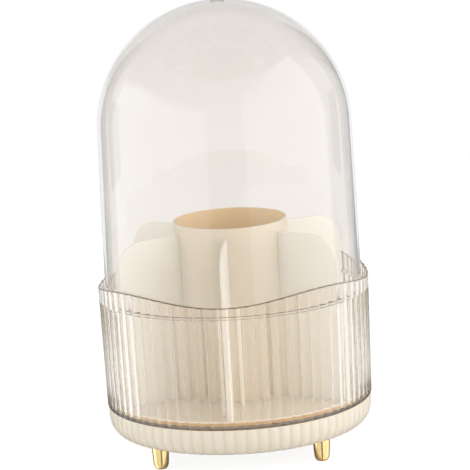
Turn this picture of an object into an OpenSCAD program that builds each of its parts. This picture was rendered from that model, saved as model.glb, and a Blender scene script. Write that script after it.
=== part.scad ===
// Round makeup organizer. A clear dust cover stands in a ribbed tank, which holds a tray with a tall
// cup and six dividers. The tank turns on a ball race in a fluted base bowl with four feet.
// Millimetres, +Z up. The origin is on the floor under the middle, and the front faces -Y.

/* [Base bowl] */
// How far the bowl stands back from the tank's ribs
base_inset = 0.8; // [0.2:0.1:2]
// Height of the bowl
base_h = 19.7; // [18:0.1:26]
// How far the underside's flat face stops short of the bowl's radius
base_edge = 8.5; // [7:0.1:9]
// Height of the rounded lower edge
base_round_h = 12.5; // [8:0.1:15]
// Wall of the bowl, behind the flutes
base_wall = 2.2; // [1.6:0.1:2.8]
// Floor of the bowl
base_floor = 2.4; // [1.8:0.1:3.2]
// Number of flutes round the bowl
base_flutes = 76; // [60:4:90]
// Depth of one flute
base_flute_depth = 0.9; // [0.4:0.1:1.3]

/* [Feet] */
// Number of feet
foot_count = 4; // [3:1:6]
// Length of a foot, which is the bowl's height above the floor
foot_len = 16.5; // [12:0.1:24]
// Radius of a foot where it meets the bowl
foot_r = 6.2; // [5:0.1:7]
// Radius of a foot above its round end
foot_end_r = 5.6; // [4.5:0.1:6]
// Height of the round end
foot_end_h = 5.8; // [4:0.1:8]
// Radius of the flat that the foot stands on
foot_flat_r = 2.6; // [2:0.1:4]
// Distance from a foot's edge to the rounded edge of the bowl
foot_inset = 0.3; // [0.2:0.1:4]
// Turn of the feet from the diagonals, in degrees
foot_turn = 3.9; // [0:0.1:45]
// Depth of the screw hole in a foot
foot_hole_depth = 10; // [9:0.5:11]

/* [Ball race] */
// Radius of the circle that the balls run on
race_r = 60; // [50:0.5:66]
// Width of each race ring
race_w = 12; // [10:0.5:16]
// Height of the upper race ring under the plate
race_h = 4.5; // [3.5:0.1:5]
// Gap between the two race rings
race_split = 3; // [2.8:0.1:3.6]
// Number of balls
ball_count = 24; // [12:1:32]
// Radius of a ball
ball_r = 3; // [2.6:0.1:3.3]
// Thickness of the cage
cage_t = 1.8; // [1.2:0.1:2]
// Width of the cage
cage_w = 14; // [11:0.5:16]

/* [Turntable] */
// Thickness of the plate
plate_t = 3; // [2.4:0.1:3.6]
// Radius of the pivot post
post_r = 8; // [7:0.1:9]
// Wall of the hub that the post turns in
hub_wall = 6; // [5.5:0.1:8]
// Depth of the recess for the washer and screw under the hub
pivot_recess = 4.7; // [4.5:0.1:6]
// Radius of the pivot washer
washer_r = 11; // [10:0.1:11.5]
// Thickness of the pivot washer
washer_t = 1.2; // [0.8:0.1:1.4]
// Number of screws between the plate and the tank
tank_screws_n = 4; // [3:1:8]
// Radius of the circle that those screws lie on
tank_screw_circle = 30; // [26:0.5:38]

/* [Tank] */
// Radius at the bottom, over the ribs
tank_r = 98.3; // [94:0.1:110]
// How much wider the tank is at the rim
tank_flare = 1.5; // [0.6:0.1:2.4]
// Height of the tank, to the middle of the rim's wave
tank_h = 92.3; // [88:0.1:110]
// Wall below the ledge, behind the ribs
tank_wall = 3; // [2.6:0.1:3.2]
// Floor of the tank
tank_floor = 2.2; // [2:0.1:3.4]
// Number of ribs round the tank
rib_count = 72; // [48:4:90]
// Height of a rib
rib_depth = 0.9; // [0.4:0.1:1.1]
// Half the height of the rim's wave
rim_wave = 3.3; // [0:0.1:4.5]
// Number of waves round the rim
rim_waves = 4; // [2:1:8]
// Height of the ledge that carries the cover
ledge_h = 80; // [64:0.1:82]
// Width of the ledge
ledge_w = 1.5; // [1.3:0.1:1.6]

/* [Cover] */
// Height from the ledge to the start of the round top
dome_straight = 122.9; // [90:0.1:180]
// How much narrower the cover is there than at its foot
dome_draft = 2; // [0.5:0.1:3]
// Wall of the cover
dome_wall = 2.2; // [1.6:0.1:2.6]
// Width of the foot flange
flange_w = 2; // [1.6:0.1:2.4]
// Thickness of the foot flange
flange_t = 2; // [1.4:0.1:3]
// Radius of the round nub on top
nub_r = 5; // [3:0.1:12]
// Height of the nub
nub_h = 1.5; // [0.8:0.1:6]

/* [Insert] */
// Floor of the tray
tray_floor = 2.2; // [1.6:0.1:3]
// Height of the tray's lip above its floor
tray_lip_h = 1.4; // [0.8:0.1:6]
// Width of the tray's lip
tray_lip_w = 1.5; // [1:0.1:2]
// Depth of the seats for the cup and dividers in the tray
seat_depth = 1; // [0.6:0.1:1.2]
// Outer radius of the cup
cup_r = 41.9; // [36:0.1:48]
// Wall of the cup
cup_wall = 1.6; // [1.4:0.1:2.4]
// Floor of the cup
cup_floor = 2; // [1.4:0.1:3]
// Height of the cup above the tray's floor
cup_h = 130; // [126:0.5:160]
// Number of dividers
divider_count = 6; // [3:1:8]
// Thickness of a divider
divider_t = 2; // [1.4:0.1:2.6]
// Height of a divider above the tray's floor
divider_h = 122.7; // [90:0.1:125]
// Radius of a divider's outer corner
divider_corner_r = 22; // [6:0.5:30]
// Depth of the groove in the cup that holds a divider
groove_depth = 0.5; // [0.3:0.1:0.7]

/* [Clearances] */
// Gap between the bowl and the turning tank
tank_gap = 0.3; // [0.2:0.1:0.8]
// Gap between the bowl's wall and the turntable plate
plate_gap = 1.4; // [0.8:0.1:2]
// Running gap round each ball
ball_gap = 0.1; // [0.05:0.05:0.2]
// Gap between a ball and its hole in the cage
cage_gap = 0.3; // [0.2:0.05:0.5]
// Running gap of the pivot post in its hub
post_gap = 0.05; // [0.02:0.01:0.1]
// Gap between the top of the hub and the plate
hub_top_gap = 1; // [0.5:0.1:2]
// End play of the turntable
end_play = 0.3; // [0.2:0.1:0.6]
// Gap round a screw, a washer bore or a locating boss
screw_gap = 0.1; // [0.05:0.05:0.2]
// Gap between the cover's flange and the tank wall
dome_gap = 0.5; // [0.4:0.1:0.6]
// Gap between the tray and the tank wall
tray_gap = 0.6; // [0.4:0.1:1.2]
// Gap between the dividers and the cover's foot
divider_gap = 1.5; // [1.2:0.1:4]
// Gap round the cup and the dividers in their seats
seat_gap = 0.1; // [0.05:0.05:0.3]

/* [Hidden] */
foot_names = [for (i = [1:foot_count]) str("foot_", i)];
divider_names = [for (i = [1:divider_count]) str("divider_", i)];

cream = "#ECE3D1";
sand = "#E6D9C2";
gold = "#E2B04A";
tea_clear = "#CDB79B";
clear = "#E9E5E0";
white = "#F2F0EA";
steel = "#B9BCC0";

front = -90;
diagonal = 45;
round_fn = 180;
small_fn = 48;
cut = 1;

screw_r = 1.5;
screw_head_r = 3;
screw_head_h = 2;
foot_screw_len = 11;
tank_screw_head_r = 5.5;
pivot_screw_r = 2;
pivot_head_r = 4.5;
pivot_head_h = 2.4;
pivot_screw_len = 9;
thread_spare = 1.5;
washer_clear = 0.5;
boss_short = 0.5;
drive_w = 0.9;
drive_share = 0.6;

base_r = tank_r - base_inset;
base_z = foot_len;
base_floor_z = base_z + base_floor;
base_top_z = base_z + base_h;
base_flat_r = base_r - base_edge;
base_in_r = base_r - base_flute_depth - base_wall;
foot_circle_r = base_flat_r - foot_r - foot_inset;
first_foot = foot_turn + diagonal;

tank_z = base_top_z + tank_gap;
tank_floor_z = tank_z + tank_floor;
ledge_z = tank_z + ledge_h;
rim_z = tank_z + tank_h;

plate_z = tank_z - plate_t;
plate_r = base_in_r - plate_gap;
race_z = plate_z - race_h;
ball_z = race_z - race_split / 2;
low_race_z = race_z - race_split;
hub_top_z = plate_z - hub_top_gap;
shoulder_z = base_z + pivot_recess;
post_end_z = shoulder_z - end_play;
washer_z = post_end_z - washer_t;
recess_r = washer_r + washer_clear;

boss_r = 4;
boss_h = plate_t - boss_short;
boss_hole_h = boss_h + tank_floor / 2;
tank_screw_len = plate_t + tank_floor / 4;

tray_floor_z = tank_floor_z + tray_floor;
tray_r = tank_inner(tank_floor_z) - tray_gap;
seat_z = tray_floor_z - seat_depth;

flange_r = tank_inner(ledge_z) + ledge_w - dome_gap;
dome_r = flange_r - flange_w;
dome_top_r = dome_r - dome_draft;
spring_z = ledge_z + dome_straight;
dome_foot_in_r = dome_r - dome_wall;
dome_in_top_r = dome_top_r - dome_wall;
dome_slope = dome_draft / dome_straight;

divider_in_r = cup_r - groove_depth + seat_gap;
divider_r = dome_foot_in_r - divider_gap;
divider_top_z = tray_floor_z + divider_h;
divider_turn = 360 / divider_count;

// Outer and inner radius of the tank at height z
function tank_outer(z) = tank_r + tank_flare * (z - tank_z) / tank_h;
function tank_inner(z) = tank_outer(z) - rib_depth - tank_wall;

// Height of the waved rim in direction a, lowest at the front
function rim_height(a) = rim_z - rim_wave * cos(rim_waves * (a - front));

// How far round flutes of a given depth and number lie back in direction a
function flute(depth, count, a) = depth * (1 - abs(cos(count * (a - front) / 2)));

// Solid between a stack of closed rings of points, closed by a fan at each end
module ring_stack(rings, low_z, high_z) {
    n = len(rings[0]);
    top = (len(rings) - 1) * n;
    points = concat([for (ring = rings) each ring], [[0, 0, low_z], [0, 0, high_z]]);
    low = len(points) - 2;
    high = len(points) - 1;
    sides = [for (k = [0:len(rings) - 2], i = [0:n - 1])
        let (a = k * n + i, b = k * n + (i + 1) % n)
        each [[a, a + n, b + n], [a, b + n, b]]];
    caps = [for (i = [0:n - 1])
        let (j = (i + 1) % n)
        each [[low, i, j], [high, top + j, top + i]]];
    polyhedron(points, concat(sides, caps));
}

// Copies of the children at equal turns on a circle
module on_circle(count, radius, turn) {
    for (i = [0:count - 1]) rotate(turn + i * 360 / count) translate([radius, 0, 0]) children();
}

// Pan or flange head screw, head down, with its bearing face at z = 0 and a cross drive
module head_down_screw(head_r, head_h, shank_r, shank_len) {
    difference() {
        union() {
            translate([0, 0, -head_h]) cylinder(h = head_h, r = head_r, $fn = small_fn);
            cylinder(h = shank_len, r = shank_r, $fn = small_fn);
        }
        for (a = [0, 90]) rotate(a) translate([0, 0, -head_h])
            cube([2 * drive_share * head_r, drive_w, head_h], center = true);
    }
}

// Fluted outside of the bowl: rings of points up the rounded edge, then straight up
module base_outside() {
    steps = 4;
    edge_step = 18;
    n = base_flutes * steps;
    rings = concat(
        [for (t = [0:edge_step:90]) [for (i = [0:n - 1])
            let (a = 360 * i / n,
                 r = base_flat_r + base_edge * sin(t) - flute(base_flute_depth, base_flutes, a))
            [r * cos(a), r * sin(a), base_z + base_round_h * (1 - cos(t))]]],
        [[for (i = [0:n - 1])
            let (a = 360 * i / n, r = base_r - flute(base_flute_depth, base_flutes, a))
            [r * cos(a), r * sin(a), base_top_z]]]);
    ring_stack(rings, base_z, base_top_z);
}

// Space inside the bowl
module base_inside() {
    edge_step = 10;
    flat_r = base_flat_r - base_wall;
    round_h = base_round_h - base_floor;
    rotate_extrude($fn = round_fn) polygon(concat(
        [[0, base_floor_z]],
        [for (t = [0:edge_step:90])
            [flat_r + (base_in_r - flat_r) * sin(t), base_floor_z + round_h * (1 - cos(t))]],
        [[base_in_r, base_top_z + cut], [0, base_top_z + cut]]));
}

// Ring-shaped channel for the balls
module ball_channel() {
    rotate_extrude($fn = round_fn) translate([race_r, ball_z]) circle(r = ball_r + ball_gap, $fn = small_fn);
}

module race_ring(low_z, high_z) {
    difference() {
        translate([0, 0, low_z])
            cylinder(h = high_z - low_z, r = race_r + race_w / 2, $fn = round_fn);
        translate([0, 0, low_z - cut])
            cylinder(h = high_z - low_z + 2 * cut, r = race_r - race_w / 2, $fn = round_fn);
        ball_channel();
    }
}

module base_shell() {
    color(cream) difference() {
        union() {
            difference() {
                base_outside();
                base_inside();
            }
            translate([0, 0, base_floor_z - cut])
                cylinder(h = hub_top_z - base_floor_z + cut, r = post_r + hub_wall, $fn = round_fn);
            race_ring(base_floor_z - cut, low_race_z);
        }
        translate([0, 0, base_z - cut])
            cylinder(h = hub_top_z - base_z + 2 * cut, r = post_r + post_gap, $fn = round_fn);
        translate([0, 0, base_z - cut]) cylinder(h = pivot_recess + cut, r = recess_r, $fn = round_fn);
        on_circle(foot_count, foot_circle_r, first_foot) translate([0, 0, base_z - cut])
            cylinder(h = base_floor + 2 * cut, r = screw_r + screw_gap, $fn = small_fn);
    }
}

module foot() {
    edge_step = 10;
    color(gold) difference() {
        rotate_extrude($fn = small_fn) polygon(concat(
            [[0, 0]],
            [for (t = [0:edge_step:90])
                [foot_flat_r + (foot_end_r - foot_flat_r) * sin(t), foot_end_h * (1 - cos(t))]],
            [[foot_r, foot_len], [0, foot_len]]));
        translate([0, 0, foot_len - foot_hole_depth])
            cylinder(h = foot_hole_depth + cut, r = screw_r + screw_gap, $fn = small_fn);
    }
}

module foot_at(i) {
    rotate(first_foot + (i - 1) * 360 / foot_count) translate([foot_circle_r, 0, 0]) foot();
}

module foot_screws() {
    color(steel) on_circle(foot_count, foot_circle_r, first_foot)
        translate([0, 0, base_floor_z]) mirror([0, 0, 1])
            head_down_screw(screw_head_r, screw_head_h, screw_r, foot_screw_len);
}

module bearing_balls() {
    color(steel) on_circle(ball_count, race_r, 0)
        translate([0, 0, ball_z]) sphere(r = ball_r, $fn = small_fn);
}

module ball_cage() {
    color(white) difference() {
        translate([0, 0, ball_z - cage_t / 2]) cylinder(h = cage_t, r = race_r + cage_w / 2, $fn = round_fn);
        translate([0, 0, ball_z - cage_t]) cylinder(h = 2 * cage_t, r = race_r - cage_w / 2, $fn = round_fn);
        on_circle(ball_count, race_r, 0) translate([0, 0, ball_z - cage_t])
            cylinder(h = 2 * cage_t, r = ball_r + cage_gap, $fn = small_fn);
    }
}

module turntable_plate() {
    color(white) difference() {
        union() {
            translate([0, 0, plate_z]) cylinder(h = plate_t, r = plate_r, $fn = round_fn);
            translate([0, 0, post_end_z])
                cylinder(h = plate_z - post_end_z + cut, r = post_r, $fn = round_fn);
            race_ring(race_z, plate_z + cut);
        }
        translate([0, 0, post_end_z - cut])
            cylinder(h = pivot_screw_len - washer_t + thread_spare + cut, r = pivot_screw_r + screw_gap,
                $fn = small_fn);
        on_circle(tank_screws_n, tank_screw_circle, diagonal) translate([0, 0, plate_z - cut])
            cylinder(h = plate_t + 2 * cut, r = boss_r + screw_gap, $fn = small_fn);
    }
}

module pivot_washer() {
    color(steel) difference() {
        translate([0, 0, washer_z]) cylinder(h = washer_t, r = washer_r, $fn = round_fn);
        translate([0, 0, washer_z - cut])
            cylinder(h = washer_t + 2 * cut, r = pivot_screw_r + screw_gap, $fn = small_fn);
    }
}

module pivot_screw() {
    color(steel) translate([0, 0, washer_z])
        head_down_screw(pivot_head_r, pivot_head_h, pivot_screw_r, pivot_screw_len);
}

module tank_screws() {
    color(steel) on_circle(tank_screws_n, tank_screw_circle, diagonal) translate([0, 0, plate_z])
        head_down_screw(tank_screw_head_r, screw_head_h, screw_r, tank_screw_len);
}

// Ribbed outside of the tank, up to its waved rim
module tank_outside() {
    steps = 6;
    n = rib_count * steps;
    rings = [
        [for (i = [0:n - 1])
            let (a = 360 * i / n, r = tank_r - flute(rib_depth, rib_count, a))
            [r * cos(a), r * sin(a), tank_z]],
        [for (i = [0:n - 1])
            let (a = 360 * i / n, z = rim_height(a), r = tank_outer(z) - flute(rib_depth, rib_count, a))
            [r * cos(a), r * sin(a), z]]];
    ring_stack(rings, tank_z, rim_z);
}

module tank() {
    open_z = rim_z + 2 * rim_wave + cut;
    color(tea_clear) difference() {
        union() {
            difference() {
                tank_outside();
                rotate_extrude($fn = round_fn) polygon([
                    [0, tank_floor_z],
                    [tank_inner(tank_floor_z), tank_floor_z],
                    [tank_inner(ledge_z), ledge_z],
                    [tank_inner(ledge_z) + ledge_w, ledge_z],
                    [tank_inner(open_z) + ledge_w, open_z],
                    [0, open_z]]);
            }
            on_circle(tank_screws_n, tank_screw_circle, diagonal) translate([0, 0, tank_z - boss_h])
                cylinder(h = boss_h + tank_floor / 2, r = boss_r, $fn = small_fn);
        }
        on_circle(tank_screws_n, tank_screw_circle, diagonal) translate([0, 0, tank_z - boss_h - cut])
            cylinder(h = boss_hole_h + cut, r = screw_r + screw_gap, $fn = small_fn);
    }
}

module tray() {
    color(sand) difference() {
        translate([0, 0, tank_floor_z]) cylinder(h = tray_floor + tray_lip_h, r = tray_r, $fn = round_fn);
        translate([0, 0, tray_floor_z])
            cylinder(h = tray_lip_h + cut, r = tray_r - tray_lip_w, $fn = round_fn);
        translate([0, 0, seat_z]) cylinder(h = seat_depth + cut, r = cup_r + seat_gap, $fn = round_fn);
        for (i = [0:divider_count - 1]) rotate(front + i * divider_turn)
            translate([0, -divider_t / 2 - seat_gap, seat_z])
                cube([divider_r + seat_gap, divider_t + 2 * seat_gap, seat_depth + cut]);
    }
}

module cup() {
    groove_w = divider_t + 2 * seat_gap;
    color(sand) difference() {
        translate([0, 0, seat_z]) cylinder(h = cup_h + seat_depth, r = cup_r, $fn = round_fn);
        translate([0, 0, seat_z + cup_floor])
            cylinder(h = cup_h + seat_depth, r = cup_r - cup_wall, $fn = round_fn);
        for (i = [0:divider_count - 1]) rotate(front + i * divider_turn)
            translate([cup_r - groove_depth, -groove_w / 2, seat_z - cut])
                cube([groove_depth + cut, groove_w, divider_top_z - seat_z + seat_gap + cut]);
    }
}

// Upright plate with a round outer corner, in the XZ plane
module divider() {
    corner_x = divider_r - divider_corner_r;
    corner_z = divider_top_z - divider_corner_r;
    color(sand) rotate([90, 0, 0]) linear_extrude(height = divider_t, center = true) union() {
        translate([divider_in_r, seat_z]) square([divider_r - divider_in_r, corner_z - seat_z]);
        translate([divider_in_r, corner_z - cut]) square([corner_x - divider_in_r, divider_corner_r + cut]);
        translate([corner_x, corner_z]) circle(r = divider_corner_r, $fn = round_fn);
    }
}

module divider_at(i) {
    rotate(front + (i - 1) * divider_turn) divider();
}

// Lower part of the cover: the foot flange and the tapered wall, up to where the round top starts
module cover_wall() {
    color(clear) difference() {
        translate([0, 0, ledge_z]) union() {
            cylinder(h = flange_t, r = flange_r, $fn = round_fn);
            cylinder(h = dome_straight, r1 = dome_r, r2 = dome_top_r, $fn = round_fn);
        }
        translate([0, 0, ledge_z - cut])
            cylinder(h = dome_straight + 2 * cut, r1 = dome_foot_in_r + cut * dome_slope,
                r2 = dome_in_top_r - cut * dome_slope, $fn = round_fn);
    }
}

// Round top of the cover, in one moulding with its wall
module cover_top() {
    color(clear) difference() {
        translate([0, 0, spring_z]) union() {
            sphere(r = dome_top_r, $fn = round_fn);
            cylinder(h = dome_top_r + nub_h, r = nub_r, $fn = small_fn);
        }
        translate([0, 0, spring_z]) sphere(r = dome_in_top_r, $fn = round_fn);
        translate([0, 0, spring_z - dome_top_r - cut])
            cylinder(h = dome_top_r + cut, r = dome_top_r + cut, $fn = round_fn);
    }
}

base_shell();
for (i = [1:foot_count]) foot_at(i);
foot_screws();
bearing_balls();
ball_cage();
turntable_plate();
pivot_washer();
pivot_screw();
tank_screws();
tank();
tray();
cup();
for (i = [1:divider_count]) divider_at(i);
cover_wall();
cover_top();
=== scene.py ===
import math
import bmesh
import bpy
from mathutils import Matrix, Vector


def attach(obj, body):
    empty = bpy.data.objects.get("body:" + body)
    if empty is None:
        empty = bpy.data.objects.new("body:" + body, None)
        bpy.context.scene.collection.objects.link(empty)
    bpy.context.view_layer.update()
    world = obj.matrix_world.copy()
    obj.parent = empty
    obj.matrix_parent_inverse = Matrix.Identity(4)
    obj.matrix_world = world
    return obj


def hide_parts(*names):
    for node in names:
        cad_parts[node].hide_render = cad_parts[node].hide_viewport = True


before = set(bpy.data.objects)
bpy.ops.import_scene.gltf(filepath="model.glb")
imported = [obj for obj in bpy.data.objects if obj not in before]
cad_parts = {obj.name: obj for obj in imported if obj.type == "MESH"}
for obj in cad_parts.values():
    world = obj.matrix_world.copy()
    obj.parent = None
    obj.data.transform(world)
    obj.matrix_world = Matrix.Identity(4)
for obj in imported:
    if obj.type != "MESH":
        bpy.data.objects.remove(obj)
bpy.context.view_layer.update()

# The camera stands 1.8 m off with a long lens, a little right of the front and slightly above the cup's rim.
# It is turned three degrees about its own axis, so the organizer leans left in the picture, and it is aimed
# so that the top of the cover just touches the picture's upper edge.
azimuth, elevation, lean = (math.radians(angle) for angle in (5.2, 11.01, 3.302))
to_camera = Vector((math.sin(azimuth) * math.cos(elevation), -math.cos(azimuth) * math.cos(elevation),
                    math.sin(elevation)))
towards = Vector((math.sin(azimuth), -math.cos(azimuth), 0))
level = Vector((math.cos(azimuth), math.sin(azimuth), 0))
upright = to_camera.cross(level)
picture_right = level * math.cos(lean) - upright * math.sin(lean)
picture_up = level * math.sin(lean) + upright * math.cos(lean)
middle = Vector((0, 0, 0.1665))
camera_distance = 1.8217
eye = middle + to_camera * camera_distance
aim = middle + picture_right * 0.00375 - picture_up * 0.0083
backwards = (eye - aim).normalized()
sideways = picture_up.cross(backwards).normalized()
bpy.ops.object.camera_add(location=eye)
camera = bpy.context.object
camera.data.lens, camera.data.sensor_width = 189.77, 36
camera.rotation_euler = Matrix((sideways, backwards.cross(sideways), backwards)).transposed().to_euler()
bpy.context.scene.camera = camera


# The floor is a white table top and the backdrop a white card behind it. The camera sees both as plain white,
# also through clear plastic, and they throw light on the organizer as matt card does. In the gold feet the
# table top is mirrored as a polished one.
def colour(code):
    """Linear colour of a hex code, as it is written for a screen."""
    parts = [int(code[i:i + 2], 16) / 255 for i in (1, 3, 5)]
    return [p / 12.92 if p <= 0.04045 else ((p + 0.055) / 1.055) ** 2.4 for p in parts] + [1]


def add(tree, kind, inputs={}, **settings):
    """Adds a node with its settings. An input is a value, or the output that feeds it."""
    node = tree.nodes.new(kind)
    for name, value in settings.items():
        setattr(node, name, value)
    for name, value in inputs.items():
        if isinstance(value, bpy.types.NodeSocket):
            tree.links.new(value, node.inputs[name])
        else:
            node.inputs[name].default_value = value
    return node


def blank(name):
    """A new material with nothing in it yet."""
    made = bpy.data.materials.new(name)
    made.use_nodes = True
    made.node_tree.nodes.clear()
    return made, made.node_tree


def white_card(name, seen, mirrored):
    """White card. To the camera, and as gold or plastic mirrors it, it has its own glow, matt and gloss."""
    card, tree = blank(name)
    path = add(tree, "ShaderNodeLightPath")
    mottle = add(tree, "ShaderNodeTexNoise", {"Scale": 9.0, "Detail": 3.0,
                                              "Vector": add(tree, "ShaderNodeTexCoord").outputs["Object"]})
    tone = add(tree, "ShaderNodeMix", {0: mottle.outputs["Fac"], 6: colour("#E6E5E3"), 7: colour("#EAE9E7")},
               data_type="RGBA")
    look = add(tree, "ShaderNodeBsdfDiffuse", {"Color": tone.outputs[2]})
    white = (1.0, 0.0, 0.0)
    for ray, (glow, matt, gloss) in (("Is Glossy Ray", mirrored), ("Is Transmission Ray", white),
                                     ("Is Camera Ray", seen)):
        shown = add(tree, "ShaderNodeAddShader", {
            0: add(tree, "ShaderNodeEmission", {"Color": (1, 1, 1, 1), "Strength": glow}).outputs[0],
            1: add(tree, "ShaderNodeBsdfDiffuse", {"Color": (matt, matt, matt, 1)}).outputs[0]})
        if gloss:
            polish = add(tree, "ShaderNodeBsdfGlossy", {"Color": (gloss, gloss, gloss, 1), "Roughness": 0.08})
            shown = add(tree, "ShaderNodeAddShader", {0: shown.outputs[0], 1: polish.outputs[0]})
        look = add(tree, "ShaderNodeMixShader", {
            0: path.outputs[ray], 1: look.outputs[0], 2: shown.outputs[0]})
    # It is there for its front only, so that from behind or from below it doesn't hide the organizer
    one_sided = add(tree, "ShaderNodeMixShader", {
        0: add(tree, "ShaderNodeNewGeometry").outputs["Backfacing"], 1: look.outputs[0],
        2: add(tree, "ShaderNodeBsdfTransparent").outputs[0]})
    add(tree, "ShaderNodeOutputMaterial", {"Surface": one_sided.outputs[0]})
    return card


bpy.ops.object.select_all(action="DESELECT")
bpy.ops.mesh.primitive_circle_add(vertices=96, radius=0.9, fill_type="NGON", location=(0, 0, 0))
floor = bpy.context.object
floor.name = "floor"
floor.data.materials.append(white_card("card_white_floor", (0.87, 0.3, 0.0), (0.0, 0.28, 0.7)))
behind, backdrop_width, backdrop_height = 0.8344, 0.66, 0.45
bpy.ops.mesh.primitive_plane_add(size=1, location=Vector((0, 0, backdrop_height / 2)) - towards * behind,
                                 rotation=(math.pi / 2, 0, azimuth))
backdrop = bpy.context.object
backdrop.name = "backdrop"
backdrop.scale = (backdrop_width, backdrop_height, 1)
backdrop.data.materials.append(white_card("card_white_backdrop", (1.0, 0.0, 0.0), (0.8, 0.0, 0.0)))

# Two grey cards stand upright behind the organizer, left and right, outside the picture. They give the clear
# edges of the cover and the ribs of the tank their thin dark lines.


def around(bearing):
    """Directions outwards and along at a bearing, in degrees to the right of the camera."""
    angle = math.radians(bearing)
    return (towards * math.cos(angle) + level * math.sin(angle),
            level * math.cos(angle) - towards * math.sin(angle))


card_grey, tree = blank("card_grey")
mottle = add(tree, "ShaderNodeTexNoise", {"Scale": 12.0, "Detail": 3.0,
                                          "Vector": add(tree, "ShaderNodeTexCoord").outputs["Object"]})
tone = add(tree, "ShaderNodeMix", {0: mottle.outputs["Fac"], 6: colour("#5E5A57"), 7: colour("#66625E")},
           data_type="RGBA")
matt = add(tree, "ShaderNodeBsdfDiffuse", {"Color": tone.outputs[2]})
# Straight through clear plastic, with no mirroring on the way, they aren't seen, so that they don't stand as
# dark shapes in the cover when the organizer is looked at from another side
path = add(tree, "ShaderNodeLightPath")
straight = add(tree, "ShaderNodeMath", {
    0: path.outputs["Ray Depth"], 1: path.outputs["Transmission Depth"], 2: 0.5}, operation="COMPARE")
through = add(tree, "ShaderNodeMath", {0: path.outputs["Is Transmission Ray"], 1: straight.outputs[0]},
              operation="MULTIPLY")
look = add(tree, "ShaderNodeMixShader", {0: through.outputs[0], 1: matt.outputs[0],
                                         2: add(tree, "ShaderNodeBsdfTransparent").outputs[0]})
add(tree, "ShaderNodeOutputMaterial", {"Surface": look.outputs[0]})
card_distance, card_height = 0.8, 0.8
for name, bearing, width in (("right_card", 139, 0.37), ("left_card", -137, 0.24)):
    outwards = around(bearing)[0]
    bpy.ops.mesh.primitive_plane_add(
        size=1, location=outwards * card_distance + Vector((0, 0, card_height / 2)),
        rotation=(math.pi / 2, 0, azimuth + math.radians(bearing)))
    card = bpy.context.object
    card.name = name
    card.scale = (width, card_height, 1)
    card.data.materials.append(card_grey)
    card.visible_camera = card.visible_glossy = False

# Two tall softboxes, left and right of the camera, light the organizer. A white wall stands all round it and
# shows only in gloss. Its brightness by bearing draws the long upright veils in the cover, with a darker gap
# between them, and what the gold feet mirror from the polished table top.


def softbox(name, distance, first, last, top, radiance):
    """A lamp from a first to a last bearing and from just under the floor up to its top, in metres."""
    outwards, along = around((first + last) / 2)
    half_width = distance * math.tan(math.radians((last - first) / 2))
    bottom = -0.15
    bpy.ops.object.light_add(type="AREA", location=outwards * distance + Vector((0, 0, (top + bottom) / 2)))
    lamp = bpy.context.object
    lamp.name = name
    lamp.data.shape, lamp.data.size, lamp.data.size_y = "RECTANGLE", 2 * half_width, top - bottom
    lamp.data.color = (0.98, 1.0, 1.03)
    lamp.data.energy = radiance * math.pi * lamp.data.size * lamp.data.size_y
    lamp.rotation_euler = Matrix((along, Vector((0, 0, 1)), outwards)).transposed().to_euler()
    lamp.visible_camera = lamp.visible_transmission = lamp.visible_glossy = False


softbox("right_softbox", 0.85, 12, 110, 1.5, 1.58)
softbox("left_softbox", 0.85, -118, -25, 1.3, 1.18)

bpy.ops.object.select_all(action="DESELECT")
bpy.ops.mesh.primitive_cylinder_add(vertices=96, radius=0.95, depth=1.6, end_fill_type="NOTHING",
                                    location=(0, 0, 0.75))
wall = bpy.context.object
wall.name = "mirrored_wall"
bpy.ops.object.transform_apply(location=True)
wall.rotation_euler.z = azimuth
wall.visible_camera = wall.visible_diffuse = wall.visible_transmission = wall.visible_shadow = False
wall_white, tree = blank("wall_white_lit")
place = add(tree, "ShaderNodeSeparateXYZ", {0: add(tree, "ShaderNodeTexCoord").outputs["Object"]})
facing = add(tree, "ShaderNodeMath", {0: place.outputs["Y"], 1: -1.0}, operation="MULTIPLY")
turn = add(tree, "ShaderNodeMath", {0: place.outputs["X"], 1: facing.outputs[0]}, operation="ARCTAN2")
round_share = add(tree, "ShaderNodeMath", {0: turn.outputs[0], 1: 0.5 / math.pi, 2: 0.5},
                  operation="MULTIPLY_ADD")
ramp = add(tree, "ShaderNodeValToRGB", {"Fac": round_share.outputs[0]})
# Bearing in degrees, brightness, height up to which it is lit and how softly it ends there, in metres, and
# its brightness as it is mirrored twice, by way of the table top. The ramp holds values up to 1, so they go
# in divided.
most_bright, most_high = 4, 2
for bearing, bright, top, soft, twice in (
        (-150, 0.9, 0.3, 0.1, 0.03), (-126, 0.65, 0.4, 0.06, 0.03), (-122, 0.65, 0.5, 0.06, 1.4),
        (-117, 0.8, 0.64, 0.06, 1.6), (-113, 1.85, 0.64, 0.06, 1.8), (-104, 1.88, 0.67, 0.06, 2.9),
        (-93, 2.05, 0.76, 0.06, 2.9), (-76, 2.0, 0.76, 0.06, 2.7), (-67, 1.75, 0.73, 0.1, 1.1),
        (-47, 1.65, 0.68, 0.12, 1.0), (-17, 1.42, 0.6, 0.15, 1.1), (-15, 0.55, 1.2, 0.15, 1.1),
        (-6, 0.55, 1.2, 0.15, 1.1), (-4, 0.55, 1.2, 0.15, 0.05), (15.5, 0.55, 1.2, 0.15, 0.05),
        (17, 1.3, 0.9, 0.3, 1.4), (22, 1.5, 0.9, 0.3, 1.45), (37, 1.7, 1.05, 0.3, 1.45),
        (58, 1.85, 1.2, 0.15, 1.45), (80, 2.0, 1.25, 0.05, 1.7), (97, 2.1, 1.15, 0.04, 1.8),
        (102, 0.6, 1.15, 0.04, 1.8), (122, 0.85, 0.7, 0.06, 1.5), (126, 0.88, 0.6, 0.08, 0.03),
        (144, 0.95, 0.3, 0.1, 0.03)):
    ramp.color_ramp.elements.new(bearing / 360 + 0.5).color = (
        bright / most_bright, top / most_high, soft, twice / most_bright)
stops = ramp.color_ramp.elements
stops[0].color, stops[-1].color = stops[1].color[:], stops[-2].color[:]
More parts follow.
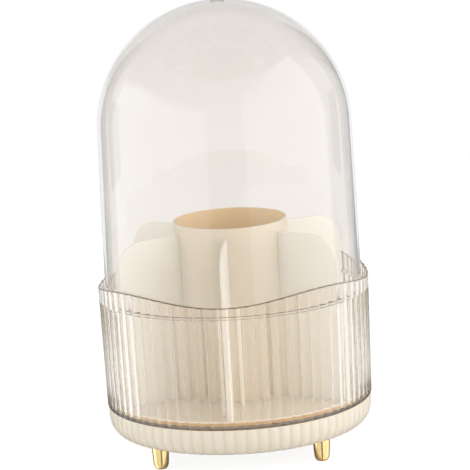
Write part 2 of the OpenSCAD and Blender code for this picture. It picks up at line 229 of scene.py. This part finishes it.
kinds = add(tree, "ShaderNodeSeparateColor", {0: ramp.outputs["Color"]})
bright = add(tree, "ShaderNodeMath", {0: kinds.outputs[0], 1: most_bright}, operation="MULTIPLY")
top = add(tree, "ShaderNodeMath", {0: kinds.outputs[1], 1: most_high}, operation="MULTIPLY")
full = add(tree, "ShaderNodeMath", {0: top.outputs[0], 1: kinds.outputs[2]}, operation="SUBTRACT")
gone = add(tree, "ShaderNodeMath", {0: top.outputs[0], 1: kinds.outputs[2]}, operation="ADD")
brightness_above = 0.42
shown = add(tree, "ShaderNodeMapRange", {
    "Value": place.outputs["Z"], "From Min": full.outputs[0], "From Max": gone.outputs[0],
    "To Min": bright.outputs[0], "To Max": brightness_above}, interpolation_type="SMOOTHSTEP")
twice = add(tree, "ShaderNodeMath", {0: ramp.outputs["Alpha"], 1: most_bright}, operation="MULTIPLY")
deep = add(tree, "ShaderNodeMath", {0: add(tree, "ShaderNodeLightPath").outputs["Ray Depth"], 1: 1.5},
           operation="GREATER_THAN")
strength = add(tree, "ShaderNodeMix", {0: deep.outputs[0], 2: shown.outputs[0], 3: twice.outputs[0]})
glow = add(tree, "ShaderNodeEmission", {"Color": (0.96, 1.0, 1.04, 1), "Strength": strength.outputs[0]})
add(tree, "ShaderNodeOutputMaterial", {"Surface": glow.outputs[0]})
wall_white.cycles.emission_sampling = "NONE"
wall.data.materials.append(wall_white)

world = bpy.data.worlds.new("studio")
bpy.context.scene.world = world
world.use_nodes = True
world.node_tree.nodes.clear()
path = add(world.node_tree, "ShaderNodeLightPath")
sky = add(world.node_tree, "ShaderNodeBackground", {"Color": (1, 0.98, 0.94, 1), "Strength": 0.37})
# Through clear plastic it is white low down and dark overhead, which draws the thin outline of the dome
direction = add(world.node_tree, "ShaderNodeSeparateXYZ", {
    0: add(world.node_tree, "ShaderNodeTexCoord").outputs["Generated"]})
overhead = add(world.node_tree, "ShaderNodeMapRange", {"Value": direction.outputs["Z"], "From Min": 0.35,
                                                       "From Max": 0.6, "To Min": 0.93, "To Max": 0.3})
for ray, brightness in (("Is Glossy Ray", 0.45), ("Is Transmission Ray", overhead.outputs[0]),
                        ("Is Camera Ray", 1.0)):
    shown = add(world.node_tree, "ShaderNodeBackground", {"Color": (1, 1, 1, 1), "Strength": brightness})
    sky = add(world.node_tree, "ShaderNodeMixShader", {
        0: path.outputs[ray], 1: sky.outputs[0], 2: shown.outputs[0]})
add(world.node_tree, "ShaderNodeOutputWorld", {"Surface": sky.outputs[0]})
bpy.context.scene.view_settings.view_transform = "Standard"
# Light is thrown to and fro inside the clear ribs many times before it gets out
paths = bpy.context.scene.cycles
paths.max_bounces = paths.glossy_bounces = paths.transmission_bounces = paths.transparent_max_bounces = 32

# The base bowl is injection moulded ABS in a warm cream. Fine convex flutes run up its side from the rounded
# lower edge, and inside it has the hub and the lower ring of the ball race that the tank turns on.
MM = 0.001
HALF_TURN = math.pi


def pick(piece, test):
    """Selects the points of a piece, in edit mode, whose radius, height and angle pass the test."""
    mesh = bmesh.from_edit_mesh(piece.data)
    mesh.select_mode = {"VERT"}
    for point in mesh.verts:
        x, y, z = point.co / MM
        point.select = test(math.hypot(x, y), z, math.atan2(y, x))
    mesh.select_flush_mode()
    bmesh.update_edit_mesh(piece.data)


def turned(name, outline, steps, joined=False, smooth=40):
    """Turns an outline of (radius, height, rounding of the corner) about the upright axis. It starts and ends
    on the axis, or, joined, its two ends are joined and it leaves a bore."""
    bpy.ops.object.select_all(action="DESELECT")
    bpy.ops.mesh.primitive_plane_add(size=MM, location=(outline[0][0] * MM, 0, outline[0][1] * MM))
    piece = bpy.context.object
    piece.name = piece.data.name = name
    bpy.ops.object.transform_apply(location=True)
    bpy.ops.object.mode_set(mode="EDIT")
    bpy.ops.mesh.select_mode(type="VERT")
    bpy.ops.mesh.select_all(action="SELECT")
    bpy.ops.mesh.merge(type="CENTER")
    for here, there in zip(outline, outline[1:]):
        bpy.ops.mesh.extrude_verts_indiv()
        bpy.ops.transform.translate(value=((there[0] - here[0]) * MM, 0, (there[1] - here[1]) * MM))
    if joined:
        ends = (outline[0], outline[-1])
        pick(piece, lambda r, z, a: min(math.dist((r, z), end[:2]) for end in ends) < 0.01)
        bpy.ops.mesh.edge_face_add()
    for corner in outline:
        if corner[2]:
            pick(piece, lambda r, z, a: math.dist((r, z), corner[:2]) < 0.01)
            bpy.ops.mesh.bevel(offset=corner[2] * MM, segments=3, affect="VERTICES")
    bpy.ops.mesh.select_all(action="SELECT")
    bpy.ops.mesh.spin(steps=steps, angle=2 * HALF_TURN, center=(0, 0, 0), axis=(0, 0, 1), use_auto_merge=True)
    bpy.ops.mesh.select_all(action="SELECT")
    bpy.ops.mesh.remove_doubles(threshold=0.002 * MM)
    bpy.ops.mesh.normals_make_consistent(inside=False)
    bpy.ops.object.mode_set(mode="OBJECT")
    bpy.ops.object.shade_smooth_by_angle(angle=math.radians(smooth))
    return piece


def arc(centre, radii, start, end, steps):
    """Points on part of an ellipse, in degrees from outwards to upwards, without rounding."""
    angles = (math.radians(start + (end - start) * i / steps) for i in range(steps + 1))
    return [(centre[0] + radii[0] * math.cos(a), centre[1] + radii[1] * math.sin(a), 0) for a in angles]


def flute(piece, count, per_flute, depth, radius, outer):
    """Draws the outer points in between the crests of round flutes, the front of the piece being a crest."""
    bpy.ops.object.mode_set(mode="EDIT")
    for step in range(1, per_flute):
        inwards = 1 - depth / radius * (1 - abs(math.cos(HALF_TURN * step / per_flute)))
        pick(piece, lambda r, z, a: outer(r, z)
             and round(a * count * per_flute / (2 * HALF_TURN)) % per_flute == step)
        bpy.ops.transform.resize(value=(inwards, inwards, 1), center_override=(0, 0, 0))
    bpy.ops.object.mode_set(mode="OBJECT")


def fit(piece, finish, body, slot, *nodes):
    """Gives a finished piece its material and its place in the organizer."""
    piece.data.materials.clear()
    piece.data.materials.append(finish)
    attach(piece, body)
    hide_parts(*nodes)


def valley(tree, place, count, narrowness):
    """1 in the valleys between round flutes and 0 on their crests, by the angle about the upright axis."""
    at = add(tree, "ShaderNodeSeparateXYZ", {0: place})
    angle = add(tree, "ShaderNodeMath", {0: at.outputs["Y"], 1: at.outputs["X"]}, operation="ARCTAN2")
    phase = add(tree, "ShaderNodeMath", {0: angle.outputs[0], 1: count / 2}, operation="MULTIPLY")
    swing = add(tree, "ShaderNodeMath", {0: phase.outputs[0]}, operation="COSINE")
    crest = add(tree, "ShaderNodeMath", {0: swing.outputs[0]}, operation="ABSOLUTE")
    away = add(tree, "ShaderNodeMath", {0: 1.0, 1: crest.outputs[0]}, operation="SUBTRACT")
    return add(tree, "ShaderNodeMath", {0: away.outputs[0], 1: narrowness}, operation="POWER").outputs[0]


def reach(tree, place):
    """Distance from the upright axis."""
    flat = add(tree, "ShaderNodeVectorMath", {0: place, 1: (1, 1, 0)}, operation="MULTIPLY")
    return add(tree, "ShaderNodeVectorMath", {0: flat.outputs[0]}, operation="LENGTH").outputs["Value"]


def moulded(name, light, dark, roughness, ior=1.53, depth_mm=2, share=0.1, flutes=0, painted_warm_bore_mm=0):
    """Opaque moulded plastic: a satin skin from a fine-eroded mould, with a faint cloudiness in its colour.
    Light goes a few millimetres into it, for a share of what it throws back."""
    finish, tree = blank(name)
    place = add(tree, "ShaderNodeTexCoord").outputs["Object"]
    # Flow marks and clouds 35 mm across, which shift the colour by a shade
    cloud = add(tree, "ShaderNodeTexNoise", {"Vector": place, "Scale": 1 / (35 * MM), "Detail": 3.0})
    tone = add(tree, "ShaderNodeMix", {0: cloud.outputs["Fac"], 6: colour(light), 7: colour(dark)},
               data_type="RGBA").outputs[2]
    if flutes:
        # Painted shade: the colour is painted darker at the bottom of the valleys between the flutes, where
        # less light reaches
        tone = add(tree, "ShaderNodeMix", {0: valley(tree, place, flutes, 2), 6: tone, 7: colour("#E3D5BE")},
                   data_type="RGBA").outputs[2]
    if painted_warm_bore_mm:
        # Painted light: down in the bore the colour is painted a warmer beige, for the light that goes from
        # wall to wall there and takes up the warm colour of the plastic
        inside = add(tree, "ShaderNodeMath", {0: reach(tree, place), 1: painted_warm_bore_mm * MM}, operation="LESS_THAN")
        tone = add(tree, "ShaderNodeMix", {0: inside.outputs[0], 6: tone, 7: colour("#EDD5AC")},
                   data_type="RGBA").outputs[2]
    # Eroded grain, really 0.1 mm, drawn at 0.6 mm so that it shows as a soft sheen
    grain = add(tree, "ShaderNodeTexNoise", {"Vector": place, "Scale": 1 / (0.6 * MM), "Detail": 2.0})
    sheen = add(tree, "ShaderNodeMapRange", {"Value": cloud.outputs["Fac"], "To Min": roughness - 0.04,
                                             "To Max": roughness + 0.06})
    skin = add(tree, "ShaderNodeBump", {
        "Height": grain.outputs["Fac"], "Strength": 0.12, "Distance": 0.03 * MM})
    shader = add(tree, "ShaderNodeBsdfPrincipled", {
        "Base Color": tone, "Roughness": sheen.outputs[0], "Normal": skin.outputs[0], "IOR": ior,
        "Subsurface Weight": share, "Subsurface Radius": (1.0, 0.75, 0.5), "Subsurface Scale": depth_mm * MM})
    add(tree, "ShaderNodeOutputMaterial", {"Surface": shader.outputs[0]})
    return finish


flutes, per_flute = 76, 8
bowl = turned("base_bowl", (
    [(11.5, 16.5, 0.3), (60, 16.5, 0)]
    + arc((89, 29), (8.5, 12.5), -90, 0, 14)
    + [(97.5, 36.2, 0.5), (94.4, 36.2, 0.4)]
    + arc((86.8, 29), (7.6, 10.1), 0, -90, 8)
    + [(66, 18.9, 0), (66, 26, 0.4)]
    + arc((60, 27.5), (3.1, 3.1), -28.95, -151.05, 8)
    + [(54, 26, 0.4), (54, 18.9, 0), (14, 18.9, 0), (14, 32.5, 0.5), (8.05, 32.5, 0.3), (8.05, 21.2, 0),
       (11.5, 21.2, 0)]), flutes * per_flute, joined=True, smooth=32)
flute(bowl, flutes, per_flute, 0.9, 97.5, lambda r, z: r > 96.2 if z > 29
      else r > 88.9 and math.hypot((r - 89) / 8.5, (29 - z) / 12.5) > 0.97)
abs_cream = moulded("abs_injection_moulded_cream", "#ECE2D0", "#E8DDC9", 0.28, share=0.05, flutes=flutes)
fit(bowl, abs_cream, "base", "bowl_plastic", "base_shell")

# The four feet are ABS pegs with a round end, electroplated in bright gold. The plating gives a hard mirror
# that is a little wavy over the moulding under it. Each is held by a screw through the floor of the bowl.


def copied(piece, name):
    """A copy of a piece with its own mesh."""
    bpy.ops.object.select_all(action="DESELECT")
    piece.select_set(True)
    bpy.context.view_layer.objects.active = piece
    bpy.ops.object.duplicate(linked=False)
    made = bpy.context.object
    made.name = made.data.name = name
    return made


def put(piece, turn=0.0, place=(0, 0, 0)):
    """Turns a piece about the upright axis and moves it, and leaves that in its mesh."""
    bpy.ops.object.select_all(action="DESELECT")
    piece.select_set(True)
    bpy.context.view_layer.objects.active = piece
    piece.rotation_euler.z, piece.location = math.radians(turn), place
    bpy.ops.object.transform_apply(location=True, rotation=True, scale=True)


gold, tree = blank("abs_gold_electroplated")
place = add(tree, "ShaderNodeTexCoord").outputs["Object"]
# The plating's waviness, over a few millimetres
wave = add(tree, "ShaderNodeTexNoise", {"Vector": place, "Scale": 1 / (4 * MM), "Detail": 1.0})
rubbed = add(tree, "ShaderNodeTexNoise", {"Vector": place, "Scale": 1 / (1.5 * MM), "Detail": 4.0})
tone = add(tree, "ShaderNodeMix", {0: wave.outputs["Fac"], 6: colour("#F8DDA4"), 7: colour("#F2D08A")},
           data_type="RGBA")
haze = add(tree, "ShaderNodeMapRange", {"Value": rubbed.outputs["Fac"], "To Min": 0.07, "To Max": 0.17})
skin = add(tree, "ShaderNodeBump", {"Height": wave.outputs["Fac"], "Strength": 0.25, "Distance": 0.05 * MM})
# Painted shade: the edge tint is a dark brown, so the feet darken towards their outlines
shader = add(tree, "ShaderNodeBsdfPrincipled", {
    "Base Color": tone.outputs[2], "Metallic": 1.0, "Roughness": haze.outputs[0], "Normal": skin.outputs[0],
    "Specular Tint": colour("#6B4A1E")})
add(tree, "ShaderNodeOutputMaterial", {"Surface": shader.outputs[0]})

foot = turned("foot_gold_1", (
    [(0, 0, 0), (2.6, 0, 0)] + arc((2.6, 5.8), (3.0, 5.8), -90, 0, 12)[1:]
    + [(6.2, 16.5, 0.3), (1.6, 16.5, 0), (1.6, 6.5, 0), (0, 6.5, 0)]), 64)
feet = [foot] + [copied(foot, f"foot_gold_{number}") for number in (2, 3, 4)]
foot_circle, first_foot = 82.5, 48.9
for number, foot in enumerate(feet):
    angle = math.radians(first_foot + 90 * number)
    put(foot, place=(foot_circle * MM * math.cos(angle), foot_circle * MM * math.sin(angle), 0))
    fit(foot, gold, "base", "foot_gold", f"foot_{number + 1}")

# The screws and the pivot washer are zinc plated steel, pale and slightly mottled. The balls of the race are
# ground and polished steel, a much cleaner mirror.


def steel(name, light, dark, smoothest, roughest, mottle_mm):
    """Bare or plated steel, with a mottle of a given size in its colour and its polish."""
    finish, tree = blank(name)
    place = add(tree, "ShaderNodeTexCoord").outputs["Object"]
    mottle = add(tree, "ShaderNodeTexNoise", {"Vector": place, "Scale": 1 / (mottle_mm * MM), "Detail": 4.0})
    tone = add(tree, "ShaderNodeMix", {0: mottle.outputs["Fac"], 6: colour(light), 7: colour(dark)},
               data_type="RGBA")
    haze = add(tree, "ShaderNodeMapRange", {"Value": mottle.outputs["Fac"], "To Min": smoothest,
                                            "To Max": roughest})
    shader = add(tree, "ShaderNodeBsdfPrincipled", {"Base Color": tone.outputs[2], "Metallic": 1.0,
                                                    "Roughness": haze.outputs[0]})
    add(tree, "ShaderNodeOutputMaterial", {"Surface": shader.outputs[0]})
    return finish


def dress(finish, *nodes):
    """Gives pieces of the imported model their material."""
    for node in nodes:
        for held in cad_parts[node].material_slots:
            held.material = finish


dress(steel("steel_zinc_plated", "#CDD0D2", "#B4B8BE", 0.22, 0.42, 1.2),
      "foot_screws", "tank_screws", "pivot_screw", "pivot_washer")
dress(steel("steel_ground_polished", "#D6D8DA", "#C6C8CB", 0.05, 0.12, 2.5), "bearing_balls")

# The cage that spaces the balls is white acetal, slightly waxy, and the turntable plate that rides on them is
# white ABS. Both are moulded, and both are hidden inside the bowl.
dress(moulded("acetal_moulded_white", "#F4F3EE", "#EFEDE6", 0.3, ior=1.48), "ball_cage")
dress(moulded("abs_moulded_white", "#F3F0E8", "#ECE8DE", 0.42), "turntable_plate")

# The tank is injection moulded in clear styrene with a light tea tint. Convex ribs run round its outside and
# bend what stands behind them, its rim rises and falls in four low waves, and a ledge inside carries the
# cover.


def lit_through(tree, shader, tone):
    """Finishes a clear material. Lamp light, and light on its way between matt pieces, goes straight through
    and takes the tint of one face of the wall; what the eye sees is bent by the real refraction."""
    path = add(tree, "ShaderNodeLightPath")
    passing = add(tree, "ShaderNodeMath", {
        0: path.outputs["Is Shadow Ray"], 1: path.outputs["Is Diffuse Ray"]}, operation="MAXIMUM")
    straight = add(tree, "ShaderNodeBsdfTransparent", {"Color": colour(tone)})
    look = add(tree, "ShaderNodeMixShader", {
        0: passing.outputs[0], 1: shader.outputs[0], 2: straight.outputs[0]})
    add(tree, "ShaderNodeOutputMaterial", {"Surface": look.outputs[0]})


def tank_outer(z):
    """Radius over the ribs at a height, in millimetres: the wall opens a little towards the rim."""
    return 98.3 + 1.5 * (z - 36.5) / 92.3


rim_low, rim_wave, rim_waves = 125.5, 3.3, 4
ribs, per_rib = 72, 12
tank = turned("tank", [
    (0, 36.5, 0), (98.3, 36.5, 0.5), (tank_outer(rim_low - 0.8), rim_low - 0.8, 0),
    (tank_outer(rim_low), rim_low, 0.4), (tank_outer(rim_low) - 2.4, rim_low, 0.4), (97.2, 116.5, 0),
    (95.7, 116.5, 0.1), (tank_outer(38.7) - 3.9, 38.7, 0.6), (0, 38.7, 0)], ribs * per_rib, smooth=32)
flute(tank, ribs, per_rib, 0.9, 98.8, lambda r, z: r > 97.9 and z < rim_low + 0.01)
rim = tank.vertex_groups.new(name="rim")
# Painted shade: points along the sharp outer edge of the rim are marked for a painted dark line
dark_rim_paint = [0.0] * len(tank.data.vertices)
for point in tank.data.vertices:
    x, y, z = point.co / MM
    if z > rim_low - 1:
        rim.add([point.index], 0.5 - 0.5 * math.cos(rim_waves * (math.atan2(y, x) + HALF_TURN / 2)), "REPLACE")
        dark_rim_paint[point.index] = float(z > rim_low - 0.6 and math.hypot(x, y) > tank_outer(rim_low) - 1.5)
tank.data.attributes.new("painted_dark_rim_edge", "FLOAT", "POINT").data.foreach_set("value", dark_rim_paint)
wave = tank.modifiers.new("rim_wave", "DISPLACE")
wave.direction, wave.mid_level, wave.strength, wave.vertex_group = "Z", 0, 2 * rim_wave * MM, "rim"
bpy.context.view_layer.objects.active = tank
bpy.ops.object.modifier_apply(modifier="rim_wave")

styrene_tea, tree = blank("styrene_injection_moulded_tea")
place = add(tree, "ShaderNodeTexCoord").outputs["Object"]
height = add(tree, "ShaderNodeSeparateXYZ", {0: place}).outputs["Z"]
# Painted shade: below 42 mm, where the wall meets the floor, the colour is painted a warm brown, deep on the
# inner side of the wall and pale on the outer, for the shaded gap by the tray, and it is painted darkest at
# the lower edge. Along the sharp outer edge of the rim it is painted dark too, for the thin dark line that
# trapped light gives there
wall_middle = 96.6
outside = add(tree, "ShaderNodeMath", {0: reach(tree, place), 1: wall_middle * MM}, operation="GREATER_THAN")
tint = colour("#FDF8F2")
for low, high, inner, outer in ((41.4, 42.2, "#C99E68", "#F1E2CE"), (37.8, 38.4, "#8A6C4A", "#8A6C4A")):
    depth = add(tree, "ShaderNodeMapRange", {"Value": height, "From Min": low * MM, "From Max": high * MM,
                                             "To Min": 1.0, "To Max": 0.0})
    deep = add(tree, "ShaderNodeMix", {0: outside.outputs[0], 6: colour(inner), 7: colour(outer)},
               data_type="RGBA")
    tint = add(tree, "ShaderNodeMix", {0: depth.outputs[0], 6: tint, 7: deep.outputs[2]},
               data_type="RGBA").outputs[2]
# Painted shade: a dark brown is painted over the marked rim edge
painted_dark_rim = add(tree, "ShaderNodeAttribute", attribute_name="painted_dark_rim_edge")
tint = add(tree, "ShaderNodeMix", {0: painted_dark_rim.outputs["Fac"], 6: tint, 7: colour("#54463A")},
           data_type="RGBA").outputs[2]
# Painted highlight and shade: each valley between the ribs, on the outer side of the wall, has its colour
# painted a little darker and lets up to 40% less light through, so that the lamps light it and it shows as a
# thin pale line, a painted highlight for the glints of the ribs
painted_highlight_share = 0.4
line = add(tree, "ShaderNodeMath", {0: outside.outputs[0], 1: valley(tree, place, ribs, 9)},
           operation="MULTIPLY")
tint = add(tree, "ShaderNodeMix", {0: line.outputs[0], 6: tint, 7: colour("#E8DFD3")},
           data_type="RGBA", blend_type="MULTIPLY").outputs[2]
clear = add(tree, "ShaderNodeMath", {0: line.outputs[0], 1: -painted_highlight_share, 2: 1.0}, operation="MULTIPLY_ADD")
# Faint flow ripple, 25 mm from crest to crest, which keeps reflections from being ruler straight
ripple = add(tree, "ShaderNodeTexNoise", {"Vector": place, "Scale": 1 / (25 * MM), "Detail": 2.0})
skin = add(tree, "ShaderNodeBump", {"Height": ripple.outputs["Fac"], "Strength": 0.1, "Distance": 0.1 * MM})
shader = add(tree, "ShaderNodeBsdfPrincipled", {
    "Base Color": tint, "Transmission Weight": clear.outputs[0], "IOR": 1.57, "Roughness": 0.02,
    "Normal": skin.outputs[0]})
lit_through(tree, shader, "#FFFEFD")
fit(tank, styrene_tea, "carousel", "tank_clear", "tank")

# The tray is a shallow disc with a low lip, injection moulded in beige ABS. It lies on the floor of the tank
# and carries the cup and the dividers.
abs_beige = moulded("abs_injection_moulded_beige", "#E9E1D2", "#E5DAC6", 0.4, depth_mm=3, share=0.4)
tray = turned("tray", [
    (0, 38.7, 0), (93.84, 38.7, 0.4), (93.84, 42.3, 0.5), (92.34, 42.3, 0.4), (92.34, 40.9, 0.4),
    (42, 40.9, 0), (42, 39.9, 0), (0, 39.9, 0)], 256)
fit(tray, abs_beige, "carousel", "tray_plastic", "tray")

# The cup stands in the middle of the tray. It is a plain tube with a floor, moulded in the same beige ABS,
# with a rim that is just broken by a small round.
cup = turned("cup", [
    (0, 39.9, 0), (41.9, 39.9, 0.3), (41.9, 170.9, 0.5), (40.3, 170.9, 0.5), (40.3, 41.9, 1.5),
    (0, 41.9, 0)], 192)
# Painted shade: the cup's copy of the beige is painted a shade darker than the tray's, for the less light the
# cup gets between the plates
abs_cup_painted_shade = moulded("abs_injection_moulded_beige_cup_painted_shade", "#E3DBCB", "#DFD4BF", 0.4, depth_mm=3, share=0.4,
                  painted_warm_bore_mm=40.6)
fit(cup, abs_cup_painted_shade, "carousel", "cup_plastic", "cup")

# Six upright plates divide the tray round the cup. Each is 2 mm thick with a large round on its outer top
# corner, and its edges are softly broken, as an ejected moulding's are. One is shaped, and the others are its
# copies.
bpy.ops.object.select_all(action="DESELECT")
bpy.ops.mesh.primitive_cube_add(size=1)
plate = bpy.context.object
plate.name = plate.data.name = "divider_plate_1"
plate_length, plate_thickness, plate_height = 49.5, 2, 123.7
plate.scale = (plate_length * MM, plate_thickness * MM, plate_height * MM)
plate.location = (66.25 * MM, 0, 101.75 * MM)
bpy.ops.object.transform_apply(location=True, rotation=True, scale=True)
bpy.ops.object.mode_set(mode="EDIT")
pick(plate, lambda r, z, a: r > 90 and z > 160)
bpy.ops.mesh.bevel(offset=22 * MM, segments=20, affect="EDGES")
bpy.ops.mesh.select_all(action="DESELECT")
bpy.ops.mesh.select_mode(type="EDGE")
bpy.ops.mesh.edges_select_sharp(sharpness=math.radians(60))
bpy.ops.mesh.bevel(offset=0.4 * MM, segments=3, affect="EDGES")
bpy.ops.mesh.select_mode(type="VERT")
bpy.ops.object.mode_set(mode="OBJECT")
bpy.ops.object.shade_smooth_by_angle(angle=math.radians(35))
# Painted light: the plates' copy of the beige is painted lighter than the tray's, for the more light the thin
# plates catch
abs_plate_painted_light = moulded("abs_injection_moulded_beige_thin_painted_light", "#EFECE4", "#ECE7DC", 0.4, depth_mm=3, share=0.4)
plates = [plate] + [copied(plate, f"divider_plate_{number}") for number in range(2, 7)]
for number, plate in enumerate(plates):
    put(plate, turn=-90 + 60 * number)
    fit(plate, abs_plate_painted_light, "carousel", "divider_plastic", f"divider_{number + 1}")

# The cover is a tall bell of clear styrene with a slight warm tint, moulded in one piece, with a round top, a
# low nub where the plastic was fed in, and a narrow foot flange that sits on the ledge in the tank.
shoulder = 239.4
cover = turned("cover", (
    [(0, 333.6, 0), (5, 333.6, 0.5)]
    + arc((0, shoulder), (92.7, 92.7), 86.91, 0, 40)
    + [(94.667, 118.5, 0.1), (96.7, 118.5, 0.1), (96.7, 116.5, 0.1), (92.5, 116.5, 0.1)]
    + arc((0, shoulder), (90.5, 90.5), 0, 90, 40)), 256, smooth=35)
styrene_clear, tree = blank("styrene_injection_moulded_clear")
place = add(tree, "ShaderNodeTexCoord").outputs["Object"]
ripple = add(tree, "ShaderNodeTexNoise", {"Vector": place, "Scale": 1 / (40 * MM), "Detail": 1.5})
skin = add(tree, "ShaderNodeBump", {"Height": ripple.outputs["Fac"], "Strength": 0.06, "Distance": 0.1 * MM})
shader = add(tree, "ShaderNodeBsdfPrincipled", {
    "Base Color": colour("#F8F5F2"), "Transmission Weight": 1.0, "IOR": 1.49, "Roughness": 0.01,
    "Normal": skin.outputs[0]})
lit_through(tree, shader, "#FFFEFD")
fit(cover, styrene_clear, "cover", "cover_clear", "cover_wall", "cover_top")
